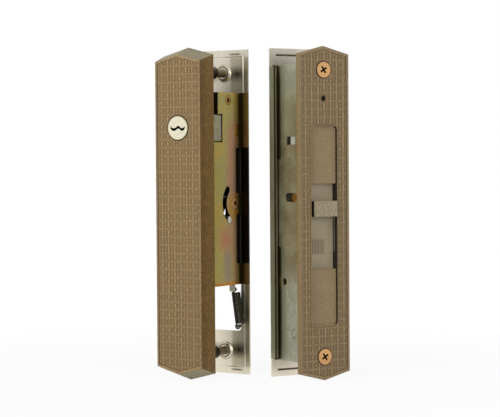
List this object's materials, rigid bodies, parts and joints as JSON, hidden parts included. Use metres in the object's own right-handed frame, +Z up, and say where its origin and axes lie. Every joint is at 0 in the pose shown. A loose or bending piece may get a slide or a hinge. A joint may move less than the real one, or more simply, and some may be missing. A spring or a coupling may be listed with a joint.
{
  "type": "sliding door meeting stile lock",
  "caption": "Two-part lock for a pair of sliding patio doors: a keyed outer half with a swinging hook, and an inner half with a thumb slider in a finger recess.",
  "frame": {"origin": "middle of the plane where the outer cover's rear rim meets the outside of the door stile, midway up the outer half", "axes": "+X right as seen from the key, +Y through the stile towards the rear plate, +Z up; the inner half stands beside it, turned 63 degrees about Z"},
  "size_m": [0.1181, 0.0959, 0.24],
  "materials": {
    "bronze_cast": "satin bronze paint on a patterned casting",
    "bronze_pan": "fine-grained grey bronze paint",
    "bronze_knob": "fine-grained light bronze paint",
    "nickel": "satin nickel",
    "dark_barrel": "blackened",
    "zinc": "dull zinc plate",
    "yellow_zinc": "iridescent yellow passivated zinc",
    "copper_screw": "copper plated steel",
    "bare_steel": "bare steel",
    "stainless": "brushed stainless steel",
    "black_steel": "blackened steel",
    "brass": "plain brass",
    "black_plastic": "black moulded plastic"
  },
  "bodies": {
    "root": {"outer_cover": "bronze_cast", "cylinder_barrel": "dark_barrel", "cylinder_housing": "zinc", "case_body": "yellow_zinc", "case_side_plate": "yellow_zinc", "rear_guard": "black_plastic", "case_post": "yellow_zinc", "case_screw": "yellow_zinc", "case_rivet": "yellow_zinc", "pivot_screw": "copper_screw", "pivot_bush": "bare_steel", "return_spring": "black_steel", "spring_post": "bare_steel", "outer_rear_plate": "stainless", "outer_sleeves": "black_steel", "outer_clamp_screws": "bare_steel", "inner_face_plate": "bronze_cast", "finger_pan": "bronze_pan", "detent_spring": "bare_steel", "inner_case": "zinc", "tie_tube": "brass", "inner_rear_plate": "stainless", "inner_posts": "bare_steel", "inner_clamp_screws": "copper_screw", "blank_screw": "black_steel"},
    "key_plug": {"cylinder_plug": "nickel", "tail_cam": "bare_steel", "cam_nut": "bare_steel"},
    "lift_bar": {"drive_bar": "bare_steel", "bar_stud": "bare_steel"},
    "hook": {"hook_lever": "bare_steel", "guide_pin": "bare_steel", "drive_pin": "bare_steel"},
    "thumb_slider": {"slider_knob": "bronze_knob", "slider_plate": "bare_steel"},
    "bolt": {"bolt_carriage": "black_steel", "guide_block": "bare_steel", "carriage_pin": "brass"}
  },
  "joints": [
    {"name": "key_turn", "type": "hinge", "parent": "root", "child": "key_plug", "pos_m": [0, 0, 0.062], "axis": [0, 1, 0], "range_deg": [0, 90.01]},
    {"name": "bar_lift", "type": "slide", "parent": "root", "child": "lift_bar", "axis": [0, 0, 1], "range_m": [0, 0.01269], "stiffness_N_per_m": 60, "springref_m": -0.01, "deforming": ["return_spring"]},
    {"name": "hook_swing", "type": "hinge", "parent": "root", "child": "hook", "pos_m": [0, 0.0369, 0.007], "axis": [-1, 0, 0], "range_deg": [0, 103.2]},
    {"name": "thumb_slide", "type": "slide", "parent": "root", "child": "thumb_slider", "axis": [0, 0, -1], "range_m": [0, 0.027]},
    {"name": "bolt_push", "type": "slide", "parent": "root", "child": "bolt", "axis": [-0.891, 0.454, 0], "range_m": [0, 0.00561]}
  ],
  "couplings": [
    {"joint": "key_turn", "follows": "bar_lift", "rad_per_m": 123.81},
    {"joint": "hook_swing", "follows": "bar_lift", "rad_per_m": 141.83},
    {"joint": "bolt_push", "follows": "thumb_slide", "ratio": 0.20741}
  ]
}
